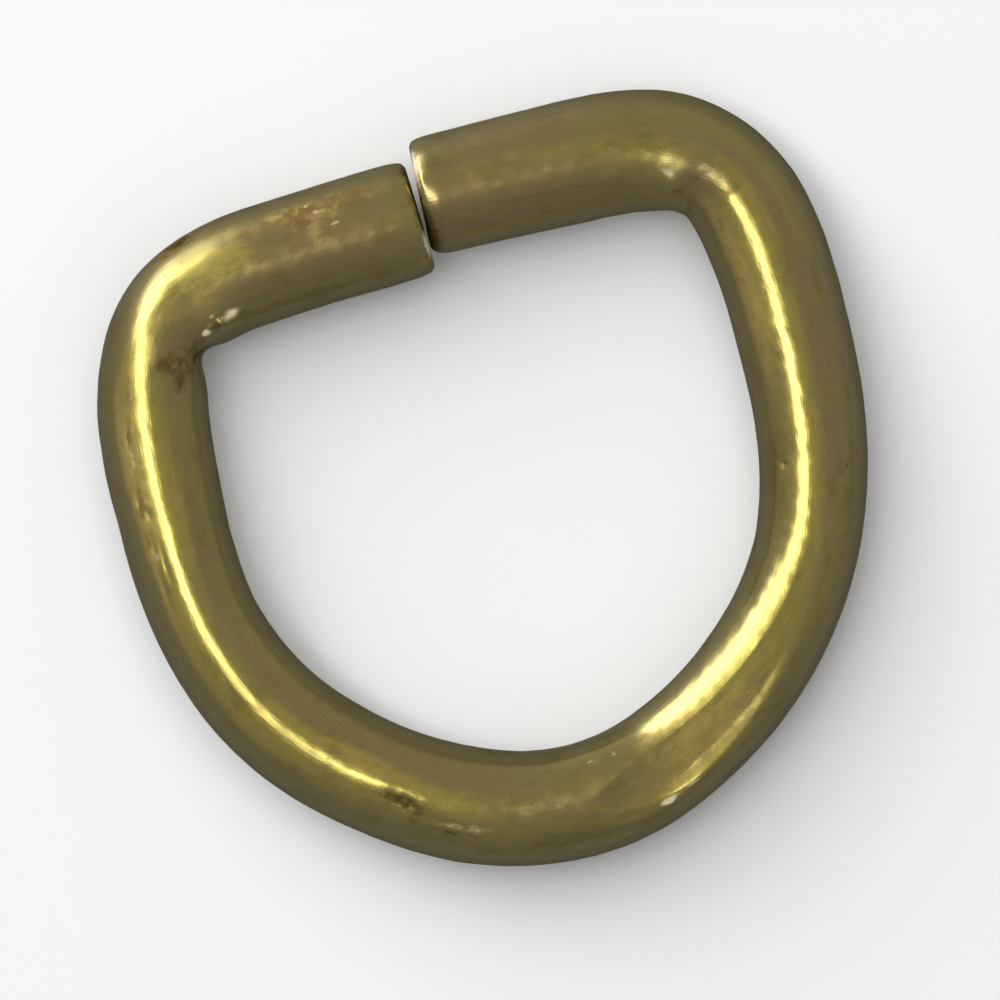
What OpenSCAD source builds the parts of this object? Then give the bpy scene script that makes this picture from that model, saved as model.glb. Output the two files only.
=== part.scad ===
// D ring: one length of round wire bent to a D, its two cut ends facing each other in the middle of the bar
// In millimetres. The ring lies on z = 0 with its bar along X at the +Y side and its bow towards -Y

/* [Size] */
// Width of the strap that fits between the legs
strap_w = 25; // [20:1:50]
// Thickness of the round wire
wire_d = 5; // [3:0.25:6]
// Length of the straight part of the right leg
leg = 3.4; // [3.4:0.1:25]

/* [Joint] */
// Gap between the two cut ends, along the bar
joint_gap = 0.2; // [0.2:0.05:1]
// Distance from the ring's middle to the joint, positive to the right
joint_x = -0.4; // [-1.5:0.05:1.5]
// Distance that the left end stands further in than the right end
joint_offset = 0.75; // [0:0.05:1]
// Slope of the left half of the bar, in degrees
joint_tilt = 3.2; // [0:0.1:4]
// Radius of the worn edge of each cut end
end_round = 0.45; // [0.2:0.05:1]

/* [Hidden] */
$fn = 96;
wire_r = wire_d / 2;
half_w = (strap_w + wire_d) / 2;

// Bends of the wire. Columns: radius of the wire's axis, share of the whole turn
RADIUS = 0;
SHARE = 1;
// From the bar to the right leg, radii as shares of wire_d
RIGHT_CORNER = [[2.40, 0.18], [0.84, 0.57], [3.00, 0.25]];
// From the right leg round to the left leg, radii as shares of half_w
BOW = [[1.13, 0.39], [0.71, 0.21], [1.26, 0.15], [0.90, 0.13], [1.26, 0.12]];
// From the left leg to the bar, radii as shares of wire_d
LEFT_CORNER = [[3.00, 0.27], [0.90, 0.53], [2.00, 0.20]];

// Steps of the wire's path. Columns: length of a straight or radius of a bend, degrees turned to the right
SIZE = 0;
TURN = 1;

// The odd steps of the path are bends. Each laps over the ends of the steps beside it and is a hair thicker,
// so that the steps join into one solid
lap = 0.1;
hair = 0.04;

// Sum of a column of a table
function total(table, column) = [for (row = table) 1] * [for (row = table) row[column]];

// Steps that turn through an angle by the rows of a table
function bends(table, unit, angle) =
    [for (row = table) [row[RADIUS] * unit, row[SHARE] / total(table, SHARE) * angle]];

// Distance in X and Y covered by one step that starts at a heading
function travel(step, heading) =
    step[TURN] == 0
        ? step[SIZE] * [cos(heading), sin(heading)]
        : step[SIZE] * [sin(heading) - sin(heading - step[TURN]), cos(heading - step[TURN]) - cos(heading)];

// Heading at the start of step i
function heading_at(steps, i, start) = i == 0 ? start : heading_at(steps, i - 1, start) - steps[i - 1][TURN];

// Distance in X and Y covered by the steps before step i
function reach(steps, i, start) =
    i == 0 ? [0, 0] : reach(steps, i - 1, start) + travel(steps[i - 1], heading_at(steps, i - 1, start));

// Depth of a bow below its start: its bends count as far as the point where the wire runs level
function depth(steps, heading = -90, i = 0) =
    i == len(steps) || heading <= -180
        ? 0
        : depth(steps, heading - steps[i][TURN], i + 1)
            - travel([steps[i][SIZE], min(steps[i][TURN], heading + 180)], heading).y;

right_corner = bends(RIGHT_CORNER, wire_d, 90);
right_reach = reach(right_corner, len(right_corner), 0);
// Radius unit of the bow that makes it span the two legs
bow_unit = -2 * half_w / reach(bends(BOW, 1, 180), len(BOW), -90).x;
bow = bends(BOW, bow_unit, 180);
bow_reach = reach(bow, len(bow), -90);
left_corner = bends(LEFT_CORNER, wire_d, 90 - joint_tilt);
left_reach = reach(left_corner, len(left_corner), 90);

// The halves of the bar set the legs half_w from the middle, and the left leg sets the offset at the joint
right_end_x = joint_x + joint_gap / 2;
left_end_x = joint_x - joint_gap / 2;
right_bar = half_w - right_reach.x - right_end_x;
left_bar = (left_end_x + half_w - left_reach.x) / cos(joint_tilt);
left_leg = leg - right_reach.y - bow_reach.y - left_reach.y - left_bar * sin(joint_tilt) - joint_offset;

PATH = concat([[right_bar, 0]], right_corner, [[leg, 0]], bow, [[left_leg, 0]], left_corner, [[left_bar, 0]]);
// Place of the right half's axis, which centres the ring from bar to bow and lays its thicker bends on z = 0
bar_y = (leg - right_reach.y + depth(bow)) / 2;
axis_z = (wire_d + hair) / 2;

// Straight wire along +X
module straight(length) {
    rotate([0, 90, 0])
        cylinder(d = wire_d, h = length);
}

// Straight wire along +X whose far end is cut square, with a worn edge
module cut_end(length) {
    rotate([0, 90, 0])
        rotate_extrude() {
            square([wire_r, length - end_round]);
            square([wire_r - end_round, length]);
            translate([wire_r - end_round, length - end_round])
                circle(r = end_round);
        }
}

// Wire that starts along +X and bends to the right, running past both ends by a length
module bend(radius, angle, thickness = wire_d, past = 0) {
    past_angle = past / radius * 180 / PI;
    translate([0, -radius, 0])
        rotate([0, 0, 90 - angle - past_angle])
            rotate_extrude(angle = angle + 2 * past_angle)
                translate([radius, 0])
                    circle(d = thickness);
}

// One step of the path, laid along +X from its start
module path_step(i) {
    size = PATH[i][SIZE];
    turn = PATH[i][TURN];
    if (i == 0)
        translate([size, 0, 0])
            mirror([1, 0, 0])
                cut_end(size);
    else if (i == len(PATH) - 1)
        cut_end(size);
    else if (turn == 0)
        straight(size);
    else if (i % 2 == 0)
        bend(size, turn);
    else
        bend(size, turn, wire_d + hair, lap);
}

// The bent wire, from the cut end of the bar's right half round to that of its left half
module d_ring() {
    color([0.55, 0.48, 0.22])
        translate([right_end_x, bar_y, axis_z])
            for (i = [0 : len(PATH) - 1])
                translate(reach(PATH, i, 0))
                    rotate([0, 0, heading_at(PATH, i, 0)])
                        path_step(i);
}

d_ring();
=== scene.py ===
import math

import bpy
import numpy as np
from mathutils import Matrix, Vector


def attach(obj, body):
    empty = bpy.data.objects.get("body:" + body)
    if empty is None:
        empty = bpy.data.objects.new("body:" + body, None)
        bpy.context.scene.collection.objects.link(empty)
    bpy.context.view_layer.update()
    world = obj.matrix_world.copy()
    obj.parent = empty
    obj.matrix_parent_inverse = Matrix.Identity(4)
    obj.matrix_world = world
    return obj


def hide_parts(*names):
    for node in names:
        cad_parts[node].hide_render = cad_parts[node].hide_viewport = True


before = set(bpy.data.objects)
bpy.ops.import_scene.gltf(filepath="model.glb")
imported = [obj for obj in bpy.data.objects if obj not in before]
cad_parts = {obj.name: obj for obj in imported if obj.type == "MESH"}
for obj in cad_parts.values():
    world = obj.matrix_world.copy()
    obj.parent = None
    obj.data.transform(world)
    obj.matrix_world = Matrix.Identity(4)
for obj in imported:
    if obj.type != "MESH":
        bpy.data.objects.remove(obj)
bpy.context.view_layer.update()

# The line of the wire. The D ring is one length of round brass wire, bent cold round a former: from a cut
# end in the middle of the bar it runs clockwise round the right leg, the bow and the left leg to the other
# cut end. The two ends face each other, unwelded.

# Millimetres and degrees. The bar lies along X at the +Y side, and right turns count as positive
wire_d = 5.0
strap_w = 25.0
right_leg = 3.4
joint_gap = 0.2
joint_x = -0.4
joint_offset = 0.75
joint_tilt = 3.2
bar_y = 14.32
axis_z = 2.52

wire_r = wire_d / 2
half_w = (strap_w + wire_d) / 2

# Places along the wire are counted from here on the bar, a little to the right of the first cut end
start_x = -0.125

# Radius of each bend and its share of the turn. Radii are in wire thicknesses, and the bow's in half widths
RIGHT_CORNER = [(2.40, 0.18), (0.84, 0.57), (3.00, 0.25)]
BOW = [(1.13, 0.39), (0.71, 0.21), (1.26, 0.15), (0.90, 0.13), (1.26, 0.12)]
LEFT_CORNER = [(3.00, 0.27), (0.90, 0.53), (2.00, 0.20)]


def bends(table, unit, angle):
    """Length and turn of each bend."""
    whole = sum(share for _, share in table)
    turns = [share / whole * angle for _, share in table]
    return [(radius * unit * math.radians(turn), turn) for (radius, _), turn in zip(table, turns)]


def reach(steps, heading):
    """Distance in X and Y that these steps cover, from a heading."""
    covered = np.zeros(2)
    for length, turn in steps:
        middle = math.radians(heading - turn / 2)
        covered += length * np.sinc(turn / 360) * np.array([math.cos(middle), math.sin(middle)])
        heading -= turn
    return covered


right_corner = bends(RIGHT_CORNER, wire_d, 90)
bow_unit = -2 * half_w / reach(bends(BOW, 1, 180), -90)[0]
bow = bends(BOW, bow_unit, 180)
left_corner = bends(LEFT_CORNER, wire_d, 90 - joint_tilt)

right_reach = reach(right_corner, 0)
bow_reach = reach(bow, -90)
left_reach = reach(left_corner, 90)
right_end_x = joint_x + joint_gap / 2
left_end_x = joint_x - joint_gap / 2
tilt = math.radians(joint_tilt)
right_bar = half_w - right_reach[0] - start_x
left_bar = (left_end_x + half_w - left_reach[0]) / math.cos(tilt)
left_leg = right_leg - right_reach[1] - bow_reach[1] - left_reach[1] - joint_offset
left_leg -= left_bar * math.sin(tilt)
steps = [(right_bar, 0), *right_corner, (right_leg, 0), *bow, (left_leg, 0), *left_corner, (left_bar, 0)]

# The wire is stiff, so its bends run into each other without a break
pace = 0.02
stiffness = 0.55
softened_steps = 100
past_the_ends = 3
step_ends = np.cumsum([0] + [length for length, _ in steps])
step_headings = -np.cumsum([0] + [turn for _, turn in steps])
first_cut = right_end_x - start_x
last_cut = step_ends[-1]
station = np.arange(-past_the_ends, last_cut + past_the_ends, pace)
kernel = np.exp(-((np.arange(-softened_steps, softened_steps + 1) * pace / stiffness) ** 2))
kernel = kernel / kernel.sum()


def soften(values):
    """Values at each station, softened where they change."""
    return np.convolve(np.pad(values, softened_steps, mode="edge"), kernel, mode="valid")


heading = soften(np.radians(np.interp(station, step_ends, step_headings)))
axis_x = np.cumsum(np.cos(heading)) * pace
axis_y = np.cumsum(np.sin(heading)) * pace
axis_x += start_x - np.interp(0, station, axis_x)
axis_y += bar_y - np.interp(0, station, axis_y)

# The skin of the wire. It was drawn round, and cropped at both ends: cropping drew each edge down a little,
# and wear has rounded it. Rings of points run along it, with 0 degrees facing out of the D, 90 up, 180 into
# the D and 270 down.
columns = 120
crowded_on_top = 0.45
rows_along = 770
rows_over_edge = 8
rows_on_cut = 9
edge_wear = 0.32
drawn_down = 0.13
drawn_length = 0.85

over_edge = edge_wear * (1 - np.cos(np.linspace(0, math.pi / 2, rows_over_edge, endpoint=False)))
along = np.concatenate([
    np.full(rows_on_cut, first_cut),
    first_cut + over_edge,
    np.linspace(first_cut + edge_wear, last_cut - edge_wear, rows_along),
    last_cut - over_edge[::-1],
    np.full(rows_on_cut, last_cut),
])
from_end = np.minimum(along - first_cut, last_cut - along)
lost_at_edge = edge_wear - np.sqrt(edge_wear**2 - np.clip(edge_wear - from_end, 0, None) ** 2)
lost_at_edge += drawn_down * np.clip(1 - from_end / drawn_length, 0, 1) ** 1.6
on_cut = np.linspace(0.04, 0.96, rows_on_cut)
share = np.concatenate([on_cut, np.ones(len(along) - 2 * rows_on_cut), on_cut[::-1]])

# Rows run along the wire and columns round it: S is the place along it and A the angle round it
lost_at_edge = lost_at_edge[:, None]
share = share[:, None]
S = along[:, None]
A = np.radians(np.arange(columns) * 360 / columns)[None, :]
A = A + crowded_on_top * np.cos(A)


def smooth(x, start, end):
    """0 before start and 1 after end, with a soft change between them."""
    t = np.clip((x - start) / (end - start), 0, 1)
    return t * t * (3 - 2 * t)


def mark(place, side, length, width, slant=0.0):
    """An oval mark, 1 in its middle and fading out, at a place along the wire and on a side of it."""
    across = ((A - math.radians(side) + math.pi) % (2 * math.pi) - math.pi) * wire_r
    run = S - place - slant * across
    return np.exp(-((run / length) ** 2) - (across / width) ** 2)


def ripple(seed, length, width, waves=60):
    """Seeded unevenness, mostly between -1 and 1, of this length along the wire and this width round it."""
    dice = np.random.default_rng(seed)
    total = 0
    for _ in range(waves):
        turns = round(2 * math.pi * wire_r / width * dice.uniform(-1, 1))
        rate = 2 * math.pi / length * dice.uniform(0.3, 1)
        total = total + np.cos(rate * S + turns * A + dice.uniform(0, 2 * math.pi))
    return total / math.sqrt(waves)


# How far the wire reaches out of the D and into it from its line. It is fuller on the bar, thinner where the
# bow was pulled, and squeezed in at the inside of the corners, where the metal had no room
REACH = [
    # place along the wire, outwards, inwards
    (0, 2.78, 2.71), (4, 2.84, 2.77), (7, 2.85, 2.85), (9, 2.81, 2.85), (11, 2.78, 2.80), (13, 2.56, 2.65),
    (14.5, 2.58, 2.50), (16, 2.73, 2.58), (17.5, 2.66, 2.72), (20, 2.55, 2.78), (23, 2.55, 2.72),
    (26.5, 2.40, 2.69), (29.5, 2.39, 2.56), (32.5, 2.45, 2.39), (35.5, 2.48, 2.41), (38, 2.51, 2.50),
    (43, 2.53, 2.59), (46, 2.60, 2.60), (50, 2.62, 2.64), (54, 2.75, 2.62), (58, 2.61, 2.61),
    (61, 2.62, 2.64), (65, 2.56, 2.54), (69, 2.45, 2.43), (71.5, 2.37, 2.57), (74, 2.32, 2.64),
    (76, 2.38, 2.73), (77.5, 2.43, 2.71), (79, 2.55, 2.60), (80.5, 2.58, 2.52), (82.5, 2.54, 2.48),
    (85, 2.60, 2.62), (88, 2.67, 2.74), (91, 2.71, 2.66), (94, 2.74, 2.74), (97, 2.66, 2.70),
]
places, outwards, inwards = np.array(REACH).T


def along_wire(values, places):
    """Values given at places along the wire, softened where they change, at each ring of points."""
    return np.interp(along, station, soften(np.interp(station, places, values)))[:, None]


half_width = along_wire((outwards + inwards) / 2, places)
aside = along_wire((outwards - inwards) / 2, places)

# Where the wire is wider it is a little less high
least_half_height = 2.40
most_half_height = 2.52
half_height = np.clip(wire_r**2 / half_width, least_half_height, most_half_height)


def marks(rows):
    """The marks of a table together: place, side, half length, half width, strength, slant."""
    return sum(strength * mark(*where, slant) for *where, strength, slant in rows)


def ridge(side, width):
    """A ridge all along the wire on one side, 1 on its crest."""
    return np.exp(-(((A - side) * wire_r / width) ** 2))


def press(side, places, depths):
    """How far a flat pressed into one side of the wire lies below its round."""
    deep = along_wire(depths, places)
    towards = np.clip(np.cos(A - math.radians(side)), 0.3, None)
    return np.clip(wire_r - (wire_r - deep) / towards, 0, deep)


# How far the skin swells out of the plain wire. The metal is a little uneven everywhere, least on the bow's
# left and at the left corner
smoothed = marks([(66.5, 80, 5.0, 1.5, 0.7, 0.0), (81.3, 85, 2.5, 1.6, 0.8, 0.0)])
swell = 0.0030 * ripple(5, 1.6, 2.0) + 0.0020 * ripple(8, 0.8, 0.8, 120)
swell = swell * (1 - smoothed) + 0.008 * ripple(3, 9, 12)

# At the inside of the corners the metal was squeezed and bulges up, with creases between the bulges. At the
# left corner it folded inwards and left a lip standing
swell = swell + marks([
    # place, side, half length, half width, height, slant
    (11.9, 127, 0.80, 0.60, 0.16, 0.0),
    (12.3, 106, 1.10, 0.90, 0.08, 0.0),
    (13.3, 138, 0.60, 0.80, -0.07, 0.0),
    (56.6, 88, 3.00, 1.50, 0.10, 0.0),
    (67.0, 82, 6.00, 0.80, -0.015, 0.0),
    (81.3, 67, 2.20, 0.75, 0.06, 0.0),
    (82.0, 132, 0.45, 0.90, -0.06, 0.3),
    (82.5, 180, 1.45, 1.50, -0.56, 0.0),
    (85.3, 130, 1.20, 0.80, 0.18, 0.0),
])
lip_height = 0.13
lip = lip_height * mark(85.2, 128, 1.5, 0.18) * np.clip(0.6 + ripple(21, 0.8, 0.8), 0, 1.4)
swell = swell + lip

# At the lower right the ring was pressed against something flat. The flat deepens along the wire and ends
# in a step. The metal pushed aside stands up as a burr along its outer side and a hump before its end
flat_side = 83
burr_width = 0.28
hump_side = 132
hump_width = 1.3
flat_places = [31, 36, 40, 44.4, 45.4, 48]
flat_depth = [0, 0.09, 0.20, 0.29, 0.26, 0]
burr_side = math.radians(flat_side) - np.arccos(1 - along_wire(flat_depth, flat_places) / wire_r)
burr = along_wire([0, 0.10, 0.20, 0.25, 0.17, 0], [36, 39.5, 42, 43.4, 44.6, 45.6])
burr_tip = 0.08 * mark(45.15, 49, 0.24, 0.16)
hump = along_wire([0, 0.13, 0.23, 0.28, 0.28, 0], [44.4, 45.3, 46.2, 47.2, 48.2, 56])
swell = swell - press(flat_side, flat_places, flat_depth)
swell = swell + burr * ridge(burr_side, burr_width) + burr_tip
swell = swell + hump * ridge(math.radians(hump_side), hump_width)

# Two smaller flats were worn on the outer shoulder of the left leg and of the corner above it
swell = swell - press(58, [74, 76, 80, 81.5], [0, 0.03, 0.03, 0])
swell = swell - press(55, [84.2, 85.2, 86.0, 86.7], [0, 0.04, 0.05, 0])

# The right half was cropped a little askew: the inner side of its end reaches furthest, and is bevelled
askew = 0.06
askew_length = 1.5
bevel_side = 154
bevel_depth = 0.26
bevel_length = 0.75
bevel_width = 1.4
from_first_cut = S - first_cut
bevel = bevel_depth * np.clip(1 - from_first_cut / bevel_length, 0, 1) ** 1.3
swell = swell - bevel * ridge(math.radians(bevel_side), bevel_width)
shifted = S + askew * np.cos(A) * share * np.clip(1 - from_first_cut / askew_length, 0, 1)

# Dents, pits and scratches
HITS = [
    # place, side, half length, half width, depth, slant
    (56.8, 77, 0.85, 0.32, 0.07, 0.3),
    (54.0, 70, 1.50, 0.12, 0.03, -0.5),
    (28.5, 124, 0.16, 0.14, 0.04, 0.0),
    (28.6, 54, 0.14, 0.12, 0.03, 0.0),
    (46.3, 123, 0.22, 0.10, 0.03, 0.0),
    (47.5, 125, 0.30, 0.10, 0.03, 0.0),
    (75.3, 59, 0.34, 0.14, 0.05, 0.8),
    (74.6, 66, 0.26, 0.16, 0.05, -0.6),
    (72.2, 72, 0.80, 0.09, 0.03, 0.5),
    (71.1, 61, 1.10, 0.09, 0.04, 0.3),
    (73.2, 64, 0.60, 0.08, 0.03, -0.7),
    (78.0, 62, 0.50, 0.10, 0.03, 0.6),
    (81.4, 100, 0.30, 0.25, 0.02, 0.0),
    (80.4, 116, 0.45, 0.20, 0.04, -0.5),
    (83.9, 140, 0.25, 0.12, 0.03, 0.0),
    (85.7, 24, 0.55, 0.30, 0.04, 0.0),
    (91.6, 50, 0.35, 0.22, 0.02, 0.0),
    (92.1, 62, 0.22, 0.20, 0.02, 0.0),
    (90.6, 46, 0.20, 0.16, 0.02, 0.0),
    (16.2, 128, 0.30, 0.18, 0.03, 0.0),
]
swell = swell - marks(HITS) * np.clip(1 + 0.35 * ripple(11, 0.5, 0.5, 120), 0, 2)

# Old dirt sits in the creases and pits. At the cut ends the same dark mark is painted shade: the shadowed
# cut faces and the joint's gap
dirt_and_shade = marks([
    (56.5, 77, 1.30, 0.45, 1.1, 0.3),
    (81.4, 98, 0.45, 0.40, 0.7, 0.3),
    (81.3, 115, 0.55, 1.00, 0.4, 0.4),
    (80.5, 120, 0.80, 0.40, 0.5, -0.5),
    (82.5, 146, 1.30, 1.10, 0.75, 0.3),
    (84.9, 126, 0.50, 0.28, 0.6, 0.0),
    (85.7, 22, 0.85, 0.50, 1.1, 0.0),
    (14.0, 140, 0.50, 1.10, 0.45, 0.0),
    (13.5, 105, 0.60, 0.40, 0.5, 0.0),
    (16.2, 128, 0.50, 0.30, 0.6, 0.0),
    (28.5, 124, 0.30, 0.24, 0.7, 0.0),
    (28.6, 54, 0.20, 0.16, 0.8, 0.0),
    (75.0, 62, 0.80, 0.30, 0.9, 0.8),
    (71.6, 66, 1.40, 0.20, 0.8, 0.4),
    (73.4, 60, 0.50, 0.16, 0.8, 0.9),
    (78.0, 62, 0.70, 0.16, 0.9, 0.6),
    (54.5, 60, 1.60, 0.16, 0.6, -0.3),
    # These two rows are painted shade on the cut ends, by the joint
    (-0.1, 140, 0.40, 1.80, 1.6, 0.0),
    (last_cut - 0.10, 50, 0.25, 2.50, 0.8, 0.0),
])

# Brown tarnish is heavier in some places than in others. On the first cut end's face it is painted shade
browned_and_shade = marks([
    (15.5, 68, 6.0, 0.20, 0.7, 0.0),
    (9.0, 40, 5.0, 0.60, 0.6, 0.0),
    (24.0, 72, 9.0, 0.45, 0.8, 0.0),
    (13.5, 112, 1.2, 1.10, 0.8, 0.0),
    (22.0, 40, 7.0, 0.80, 0.5, 0.0),
    (4.0, 90, 6.0, 2.60, 0.7, 0.0),
    # This row is painted shade: a soft brown on the shadowed face of the first cut end
    (0.3, 140, 0.9, 1.80, 1.2, 0.0),
    (41.5, 88, 3.5, 0.70, 0.4, 0.0),
    (49.0, 90, 4.0, 0.80, 0.5, 0.0),
    (57.0, 125, 8.0, 0.80, 0.7, 0.0),
    (64.0, 115, 13.0, 0.45, 0.9, 0.0),
    (70.0, 45, 5.0, 0.50, 0.5, 0.0),
    (83.5, 105, 2.5, 0.90, 0.8, 0.3),
    (82.5, 138, 1.6, 1.30, 1.0, 0.0),
    (91.0, 80, 5.0, 2.60, 0.9, 0.0),
])

# In other places it has turned a warm golden brown
warmed = marks([
    (19.0, 126, 5.0, 0.45, 1.5, 0.0),
    (41.0, 92, 4.0, 0.90, 0.7, 0.0),
    (43.4, 122, 1.8, 0.60, 1.1, 0.0),
    (43.5, 70, 3.0, 0.50, 0.7, 0.0),
    (48.0, 84, 3.0, 0.70, 0.5, 0.0),
    (59.5, 100, 3.0, 0.50, 1.2, 0.0),
    (68.0, 62, 6.0, 0.40, 0.8, 0.0),
    (76.0, 60, 4.0, 0.45, 1.5, 0.0),
    (85.2, 103, 2.2, 0.90, 0.9, 0.0),
    (88.5, 50, 2.0, 0.60, 0.6, 0.0),
])

# An orange brown stain lies across the left half of the bar, with a dark red one beside it at the corner
stained = marks([
    (91.3, 56, 1.8, 1.0, 1.0, 0.0),
    (93.8, 52, 1.5, 0.7, 0.7, 0.0),
    (89.5, 50, 1.2, 0.5, 0.6, 0.0),
    (91.5, 82, 1.0, 0.7, 0.5, 0.3),
    (85.7, 24, 1.1, 0.6, 1.5, 0.0),
    (81.6, 110, 0.9, 1.2, 0.9, 0.0),
    (28.5, 124, 0.4, 0.3, 0.9, 0.0),
    (29.5, 127, 2.0, 0.3, 0.7, 0.0),
    (20.0, 128, 3.5, 0.3, 0.6, 0.0),
])

# Where things rubbed against the ring it is brighter. Some of these bands are a painted sheen: lighter brass
# where the burr, the bars and the left leg catch faint highlights
worn = marks([
    (77.3, 62, 3.5, 0.6, 1.0, 0.0),
    (68.0, 64, 7.0, 0.5, 1.0, 0.0),
    (39.0, 110, 4.0, 0.8, 0.5, 0.0),
    (86.5, 70, 2.0, 0.8, 1.0, 0.0),
    (60.0, 100, 3.0, 0.5, 0.8, 0.0),
    # These three rows are a painted sheen: the burr's highlight and a faint highlight along both halves of
    # the bar
    (44.0, 54, 2.5, 0.3, 1.5, 0.0),
    (5.5, 74, 5.0, 0.7, 0.5, 0.0),
    (92.5, 76, 3.5, 0.6, 0.3, 0.0),
    (19.5, 126, 5.0, 0.4, 0.6, 0.0),
])

# The worn flats and the creases are duller than the rest
dulled = marks([
    (41.0, 100, 4.0, 1.1, 1.0, 0.0),
    (44.8, 112, 0.7, 0.8, 0.8, 0.0),
    (86.2, 60, 1.5, 1.2, 1.2, 0.0),
    (11.8, 110, 1.4, 0.8, 0.9, 0.0),
    (75.5, 61, 5.0, 0.5, 1.6, 0.0),
    (19.5, 126, 5.0, 0.5, 1.2, 0.0),
])

# Here and there the metal was scraped bare, and at the edges of the cut ends. These bare flecks and rims are
# also painted glints: a pale, matt colour where the metal catches the lights
scraped_and_glints = marks([
    (45.15, 53, 0.42, 0.16, 1.3, 0.0),
    (43.9, 55, 1.00, 0.10, 0.5, 0.0),
    (84.1, 129, 0.42, 0.20, 1.2, 0.0),
    (85.1, 118, 0.22, 0.12, 0.6, 0.0),
    (86.2, 126, 0.65, 0.26, 0.9, -0.2),
    (11.7, 112, 0.60, 0.28, 0.5, -0.3),
    (14.4, 98, 0.16, 0.14, 0.7, 0.0),
    (53.8, 68, 1.80, 0.26, 0.5, -0.3),
    (46.3, 124, 0.25, 0.10, 0.6, 0.0),
    (47.6, 126, 0.35, 0.10, 0.5, 0.0),
    (91.6, 57, 0.40, 0.14, 0.65, 0.5),
    (91.2, 46, 0.16, 0.10, 0.7, 0.0),
    (92.3, 74, 0.28, 0.09, 0.65, -0.6),
    (77.3, 62, 2.80, 0.40, 0.32, 0.0),
    (72.0, 64, 2.20, 0.40, 0.32, 0.0),
])
# Painted glints on the rims of both cut ends
scraped_and_glints = scraped_and_glints + smooth(share, 0.8, 0.95) * marks([
    (first_cut + 0.10, 57, 0.18, 1.10, 1.0, 0.0),
    (last_cut - 0.08, 128, 0.14, 1.00, 0.8, 0.0),
])

# The skin's points: level with the table and square to the wire's line, and up from the table
level = aside + (half_width - lost_at_edge + swell) * share * np.cos(A)
height = (half_height - lost_at_edge + swell) * share * np.sin(A)
height = height - height.min()
facing = np.interp(shifted, station, heading)
points = np.stack([
    np.interp(shifted, station, axis_x) - np.sin(facing) * level,
    np.interp(shifted, station, axis_y) + np.cos(facing) * level,
    height,
], axis=-1)

rows = len(along)
quads = [
    (
        row * columns + column,
        row * columns + (column + 1) % columns,
        (row + 1) * columns + (column + 1) % columns,
        (row + 1) * columns + column,
    )
    for row in range(rows - 1)
    for column in range(columns)
]
first_face = tuple(range(columns))[::-1]
last_face = tuple(range((rows - 1) * columns, rows * columns))

mesh = bpy.data.meshes.new("ring")
mesh.from_pydata((points.reshape(-1, 3) / 1000).tolist(), [], quads + [first_face, last_face])
mesh.shade_smooth()
ring = bpy.data.objects.new("ring", mesh)
bpy.context.scene.collection.objects.link(ring)


def keep_on_mesh(name, kind, field, values):
    """Store a value for each point, for the finish."""
    attribute = mesh.attributes.new(name, kind, "POINT")
    attribute.data.foreach_set(field, np.ascontiguousarray(values, dtype=np.float32).reshape(-1))


# Each point's place on the wire as it was before it was bent, so that the finish runs along the wire
before_bending = np.stack([S + 0 * A, wire_r * share * np.cos(A), wire_r * share * np.sin(A)], axis=-1)
keep_on_mesh("straight", "FLOAT_VECTOR", "vector", before_bending)

finish_values = {
    "dirt_and_shade": dirt_and_shade,
    "browned_and_shade": browned_and_shade,
    "warmed": warmed,
    "stained": stained,
    "scraped_and_glints": scraped_and_glints,
    "worn": worn,
    "dulled": dulled,
}
for name, values in finish_values.items():
    keep_on_mesh(name, "FLOAT", "value", values)

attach(ring, "root")
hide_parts("d_ring")


# The finish. Bare brass that was never lacquered: it has tarnished to olive and brown, most of all on its
# sides, is lighter above and below, partly rubbed and partly a painted sheen round the highlights on top,
# and still has the fine lines that drawing left along the wire.
class Shade:
    """A node tree, or one socket in it, on which Python's operators add Math nodes."""

    def __init__(self, tree, socket=None):
        self.tree = tree
        self.socket = socket

    def node(self, kind, settings=None, inputs=None, output=0):
        """Any node: its settings first, then the values or links of its sockets."""
        node = self.tree.nodes.new(kind)
        for name, setting in (settings or {}).items():
            setattr(node, name, setting)
        for name, source in (inputs or {}).items():
            if isinstance(source, Shade):
                self.tree.links.new(source.socket, node.inputs[name])
            else:
                node.inputs[name].default_value = source
        return Shade(self.tree, node.outputs[output] if node.outputs else None)

    def math(self, operation, first, second=0.0):
        """A Math node on two values."""
        return self.node("ShaderNodeMath", {"operation": operation}, {0: first, 1: second})

    def __add__(self, other):
        return self.math("ADD", self, other)

    __radd__ = __add__

    def __sub__(self, other):
        return self.math("SUBTRACT", self, other)

    def __rsub__(self, other):
        return self.math("SUBTRACT", other, self)

    def __mul__(self, other):
        return self.math("MULTIPLY", self, other)

    __rmul__ = __mul__

    def between(self, low, high):
        """0 where this is below low, 1 where it is above high, with a soft change between them."""
        return self.node(
            "ShaderNodeMapRange", {"interpolation_type": "SMOOTHSTEP"}, {0: self, 1: low, 2: high}
        )

    def mix(self, first, second):
        """The first colour where this is 0, the second where it is 1."""
        return self.node("ShaderNodeMix", {"data_type": "RGBA"}, {0: self, 6: first, 7: second}, output=2)


material = bpy.data.materials.new("tarnished_brass")
material.use_nodes = True
material.node_tree.nodes.clear()
brass = Shade(material.node_tree)
place = brass.node("ShaderNodeAttribute", {"attribute_name": "straight"}, output="Vector")


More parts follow.
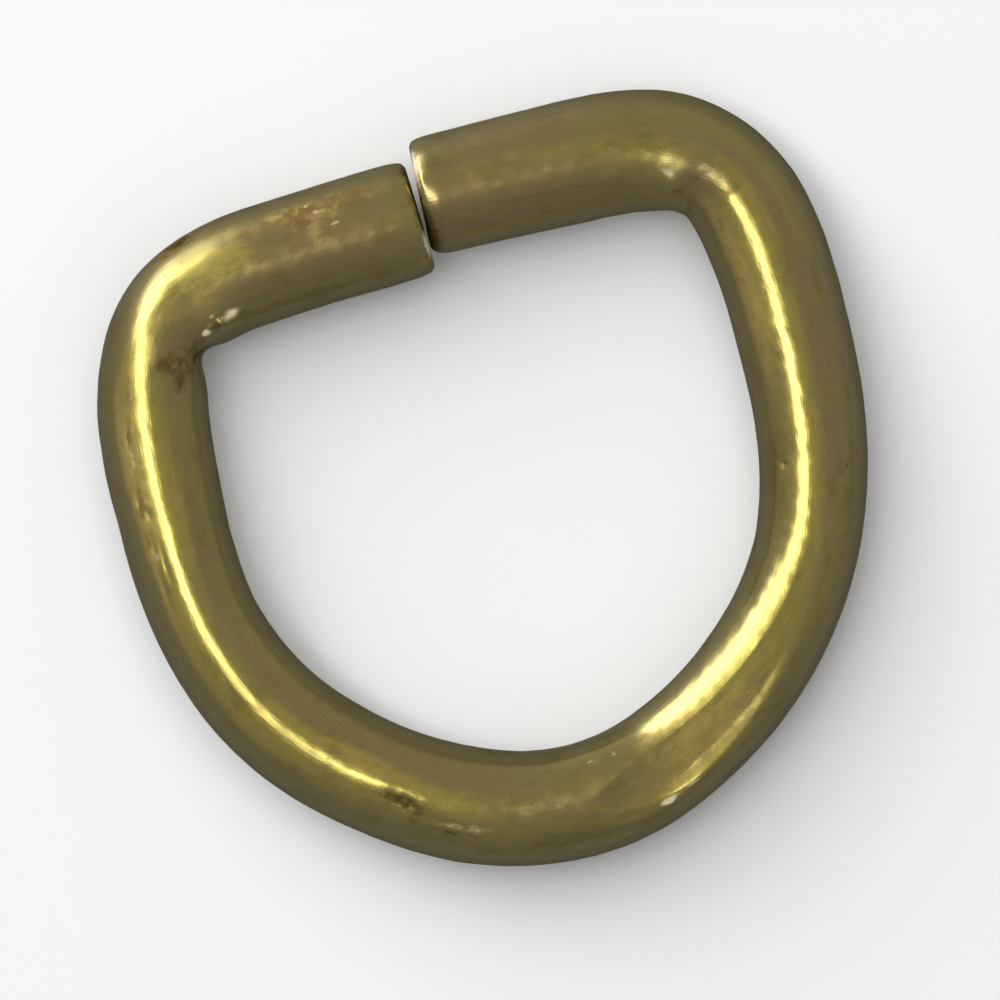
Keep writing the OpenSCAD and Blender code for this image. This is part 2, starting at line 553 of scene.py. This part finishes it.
def noise(size, drawn_out, detail, roughness, seed=0.0):
    """Noise of this size in mm, drawn out along the wire."""
    scaled = brass.node(
        "ShaderNodeVectorMath", {"operation": "MULTIPLY"}, {0: place, 1: (1 / drawn_out, 1, 1)}
    )
    moved = brass.node("ShaderNodeVectorMath", {"operation": "ADD"}, {0: scaled, 1: (seed, seed, 0)})
    return brass.node(
        "ShaderNodeTexNoise",
        {},
        {"Vector": moved, "Scale": 1 / size, "Detail": detail, "Roughness": roughness},
    )


def kept(name):
    """A value that was stored on the mesh."""
    return brass.node("ShaderNodeAttribute", {"attribute_name": name}, output="Fac")


# The rubbed brass is partly a painted sheen: lighter, yellower brass on top, round the highlights
rubbed_brass_and_sheen = (0.64, 0.53, 0.145, 1)
olive_tarnish = (0.49, 0.41, 0.155, 1)
brown_tarnish = (0.47, 0.36, 0.160, 1)
golden_tarnish = (0.74, 0.55, 0.18, 1)
dark_tarnish = (0.32, 0.26, 0.08, 1)
grey_film = (0.44, 0.395, 0.215, 1)
dirt_and_shade_colour = (0.13, 0.10, 0.03, 1)
red_brown_stain = (0.36, 0.22, 0.07, 1)
orange_stain = (0.62, 0.47, 0.16, 1)
glint_bare_brass = (0.90, 0.81, 0.52, 1)

# Patterns in the tarnish, from the broadest to the finest
cloud = noise(3.0, 3.0, 5.0, 0.6)
patch = noise(1.2, 2.0, 6.0, 0.68, 53.0)
streak = noise(0.55, 14.0, 4.0, 0.6, 7.0)
mottle = noise(0.45, 1.6, 5.0, 0.65, 17.0)
speck = noise(0.20, 1.5, 3.0, 0.6, 13.0)
line = noise(0.11, 40.0, 3.0, 0.6, 23.0)
unevenly = 1.6 * (mottle - 0.5)

# Tarnish. It is thinner, and the brass painted lighter and yellower, the further a spot is above or below
# the wire's middle: partly rubbed wear, partly a painted sheen where the highlights fall on top
from_middle = brass.node("ShaderNodeSeparateXYZ", {}, {0: place}, output=2)
from_middle = from_middle.math("ABSOLUTE", from_middle)
rubbed_and_sheen = from_middle - 2.2 + 1.6 * (cloud - 0.5) + 0.6 * unevenly - 1.2 * kept("browned_and_shade") + kept("worn")
rubbed_and_sheen = rubbed_and_sheen.between(-0.35, 0.45)
brown = (kept("browned_and_shade") + 2.2 * (cloud - 0.5) + 1.4 * unevenly).between(0.0, 0.9)
golden = (kept("warmed") + 1.2 * (cloud - 0.5) + 0.8 * unevenly).between(0.15, 1.1)
side_film = 1 - (from_middle + 0.3 * unevenly).between(0.7, 2.3)
colour = brown.mix(olive_tarnish, brown_tarnish)
colour = rubbed_and_sheen.mix(colour, rubbed_brass_and_sheen)
colour = (0.8 * golden).mix(colour, golden_tarnish)
colour = (0.8 * side_film).mix(colour, grey_film)
colour = (0.55 * patch.between(0.50, 0.72)).mix(colour, dark_tarnish)
colour = (0.25 * streak.between(0.50, 0.78)).mix(colour, dirt_and_shade_colour)

# Stains, dirt and bare spots on top of the tarnish, with painted shade at the cut ends and painted glints on
# the flecks and rims
blotch = noise(0.9, 1.3, 5.0, 0.6, 31.0)
stain = (kept("stained") + 1.6 * (blotch - 0.5) + 0.6 * unevenly).between(0.25, 1.25)
stain_colour = noise(0.6, 1.2, 4.0, 0.6, 37.0).between(0.42, 0.62).mix(red_brown_stain, orange_stain)
grime_and_shade = (kept("dirt_and_shade") + 1.3 * unevenly).between(0.20, 1.05)
bare_and_glints = (kept("scraped_and_glints") + 0.8 * unevenly).between(0.25, 0.95)
pits = speck.between(0.68, 0.76)
colour = (0.8 * stain).mix(colour, stain_colour)
colour = (0.85 * grime_and_shade).mix(colour, dirt_and_shade_colour)
colour = (0.5 * pits).mix(colour, dirt_and_shade_colour)
colour = bare_and_glints.mix(colour, glint_bare_brass)

# Films, dirt, the painted shade and the bare spots are duller than the metal. The relief is the drawing
# lines, fine wear, pits and the dirt marks
roughness = 0.15 + 0.35 * side_film + 0.08 * brown + 0.08 * streak.between(0.4, 0.8)
roughness = roughness + 0.10 * stain + 0.25 * grime_and_shade + 0.3 * bare_and_glints + 0.14 * kept("dulled")
relief = brass.node(
    "ShaderNodeBump",
    {},
    {
        "Strength": 0.35,
        "Distance": 0.00002,
        "Height": 0.45 * line + 0.5 * noise(0.09, 5.0, 2.0, 0.5, 41.0) - 0.9 * pits - 0.6 * grime_and_shade,
    },
)
surface = brass.node(
    "ShaderNodeBsdfPrincipled",
    {},
    {
        "Base Color": colour,
        "Roughness": roughness,
        "Metallic": 1 - 0.8 * bare_and_glints,
        "Normal": relief,
    },
)
brass.node("ShaderNodeOutputMaterial", {}, {"Surface": surface})
mesh.materials.append(material)

# The floor. A plain pale table top that the ring lies on. It is matt, so it shows only the ring's soft
# shadow, and it is kept out of the metal's mirror image.
floor_half = 3.0
floor_mesh = bpy.data.meshes.new("floor")
floor_corners = [(-1, -1), (1, -1), (1, 1), (-1, 1)]
floor_mesh.from_pydata([(x * floor_half, y * floor_half, 0) for x, y in floor_corners], [], [(0, 1, 2, 3)])
floor = bpy.data.objects.new("floor", floor_mesh)
bpy.context.scene.collection.objects.link(floor)
floor.visible_glossy = False
pale_grey = (0.855, 0.862, 0.884, 1)
table_top = bpy.data.materials.new("pale_table_top")
table_top.use_nodes = True
table_finish = table_top.node_tree.nodes["Principled BSDF"]
table_finish.inputs["Base Color"].default_value = pale_grey
table_finish.inputs["Roughness"].default_value = 0.8
floor_mesh.materials.append(table_top)

# The light. A strip hangs nearly overhead and a box stands beside it at the upper left: both are mirrored in
# the wire as its highlights. Two fills that the metal doesn't mirror soften the shadows on the floor.
bar_rises = 13.69
picture_turn = Matrix.Rotation(math.radians(-bar_rises), 4, "Z")


def softbox(name, near, far, width, power):
    """A rectangular light about a metre off, between two directions in the picture's axes."""
    near = Vector(near).normalized()
    far = Vector(far).normalized()
    middle = (near + far) / 2
    long_side = (far - near).normalized()
    back = middle.normalized()
    short_side = back.cross(long_side)
    data = bpy.data.lights.new(name, "AREA")
    data.shape = "RECTANGLE"
    data.size = (far - near).length
    data.size_y = width
    data.energy = power
    lamp = bpy.data.objects.new(name, data)
    axes = Matrix((long_side, short_side, back)).transposed().to_4x4()
    lamp.matrix_world = picture_turn @ Matrix.Translation(middle) @ axes
    bpy.context.scene.collection.objects.link(lamp)
    return lamp


softbox("strip", (-0.125, -0.195, 0.97), (-0.68, 0.36, 0.64), 0.19, 1.6)
softbox("side_box", (-0.68, 0.36, 0.64), (-0.58, 0.81, 0.05), 0.38, 3.2)
top_fill = softbox("top_fill", (0.0, 0.0, 1.0), (-0.50, 0.80, 0.33), 0.90, 5.0)
top_fill.visible_glossy = False
low_fill = softbox("low_fill", (0.1, -0.2, 0.97), (0.6, -0.5, 0.6), 0.90, 1.0)
low_fill.visible_glossy = False

# The room. Its walls and ceiling light the floor a little, and the metal mirrors them dimly: brighter and
# warmer towards one wall, darker below, and warmest near the strip.
cool_grey = (0.98, 0.97, 1.08, 1)
warm_white = (1.0, 0.97, 0.90, 1)
yellow_white = (1.0, 0.96, 0.76, 1)

room = bpy.data.worlds.new("room")
room.use_nodes = True
room.node_tree.nodes.clear()
air = Shade(room.node_tree)
direction = air.node("ShaderNodeTexCoord", output="Generated")


def towards(x, y, z):
    """How nearly a direction is this one, in the picture's axes: 1 where it is, -1 where it is opposite."""
    this_way = (picture_turn @ Vector((x, y, z)).normalized())[:]
    return air.node(
        "ShaderNodeVectorMath", {"operation": "DOT_PRODUCT"}, {0: direction, 1: this_way}, output="Value"
    )


upward = towards(0, 0, 1)
wall = towards(-0.10, 0.90, 0.42).between(-0.9, 1.0)
near_strip = towards(-0.34, 0.02, 0.94).between(0.82, 0.97)
above_the_table = upward.between(-0.35, 0.05)
above_the_ground = upward.between(-0.95, -0.35)
brightness = 0.24 + above_the_table * (0.15 * wall - 0.02)
brightness = brightness * (0.30 + 0.70 * above_the_ground) + 0.02 * near_strip
air_colour = wall.mix(cool_grey, warm_white)
air_colour = near_strip.mix(air_colour, yellow_white)
background = air.node("ShaderNodeBackground", {}, {"Color": air_colour, "Strength": brightness})
air.node("ShaderNodeOutputWorld", {}, {"Surface": background})
bpy.context.scene.world = room
bpy.context.scene.view_settings.view_transform = "Standard"

# The camera. It looks straight down from nearly half a metre, turned so that the bar rises to the right. The
# view is 46 mm wide at the height of the wire's middle.
camera_height = 0.45
view_width = 0.046
camera_data = bpy.data.cameras.new("camera")
camera_data.lens = camera_data.sensor_width * (camera_height - axis_z / 1000) / view_width
camera_data.clip_end = 10
camera = bpy.data.objects.new("camera", camera_data)
camera.matrix_world = picture_turn @ Matrix.Translation((0, 0, camera_height))
bpy.context.scene.collection.objects.link(camera)
bpy.context.scene.camera = camera
